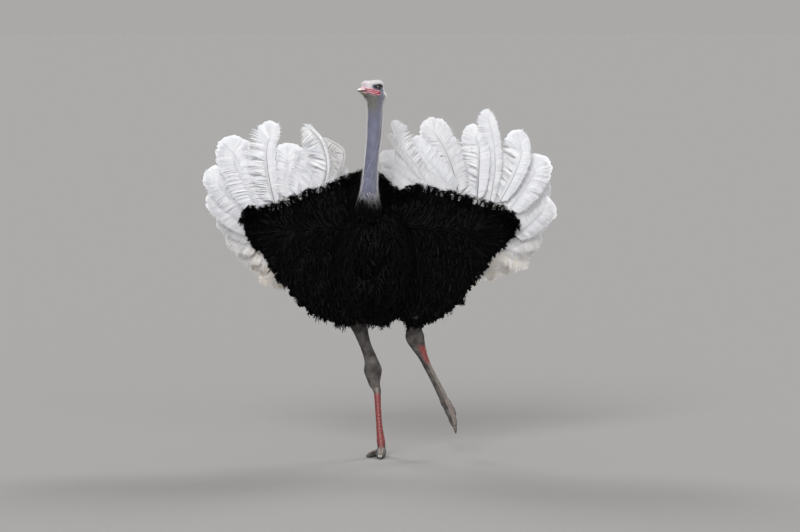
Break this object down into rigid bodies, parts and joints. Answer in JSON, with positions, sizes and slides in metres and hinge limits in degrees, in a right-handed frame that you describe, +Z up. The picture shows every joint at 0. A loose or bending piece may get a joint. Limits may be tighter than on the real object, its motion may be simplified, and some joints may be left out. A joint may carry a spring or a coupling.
{
  "type": "ostrich",
  "caption": "Life-size still model of an adult male ostrich standing on one foot in mid-stride, head turned aside, both wings spread to show black coverts and white plumes.",
  "frame": {"origin": "middle of the footprint of the whole bird, on the floor", "axes": "+Z up; the bird faces -Y, its right side is -X"},
  "size_m": [2.292, 1.338, 2.4409],
  "materials": {
    "skin": "bare blue-grey skin, finely wrinkled, with scales on the feet",
    "shin": "pink-red horny shields down the front of the shin over grey scales",
    "bill": "satin horn, pink at the base and cream at the tip",
    "claw": "dull dark horn",
    "eye": "wet dark brown eyeball with a black pupil",
    "black_plumage": "soft loose jet black feathers with a faint grey sheen at the frilled edges",
    "white_plumage": "soft white curled plumes with long loose barbs, a little cream low down"
  },
  "bodies": {
    "root": {"trunk": "black_plumage", "eye_left": "eye", "eye_right": "eye", "head": "skin", "bill_upper": "bill", "bill_lower": "bill", "neck_upper": "skin", "neck_middle": "skin", "neck_lower": "skin", "wing_left_coverts": "black_plumage", "wing_left_secondaries": "white_plumage", "wing_left_primaries": "white_plumage", "wing_right_coverts": "black_plumage", "wing_right_secondaries": "white_plumage", "wing_right_primaries": "white_plumage", "tail": "white_plumage", "leg_right_thigh": "skin", "leg_right_shank": "skin", "leg_right_ankle": "skin", "leg_right_tarsus": "shin", "toe_right_inner": "skin", "toe_right_outer": "skin", "claw_right": "claw", "leg_left_thigh": "skin", "leg_left_shank": "skin", "leg_left_ankle": "skin", "leg_left_tarsus": "skin", "toe_left_inner": "skin", "toe_left_outer": "skin", "claw_left": "claw"}
  },
  "joints": []
}
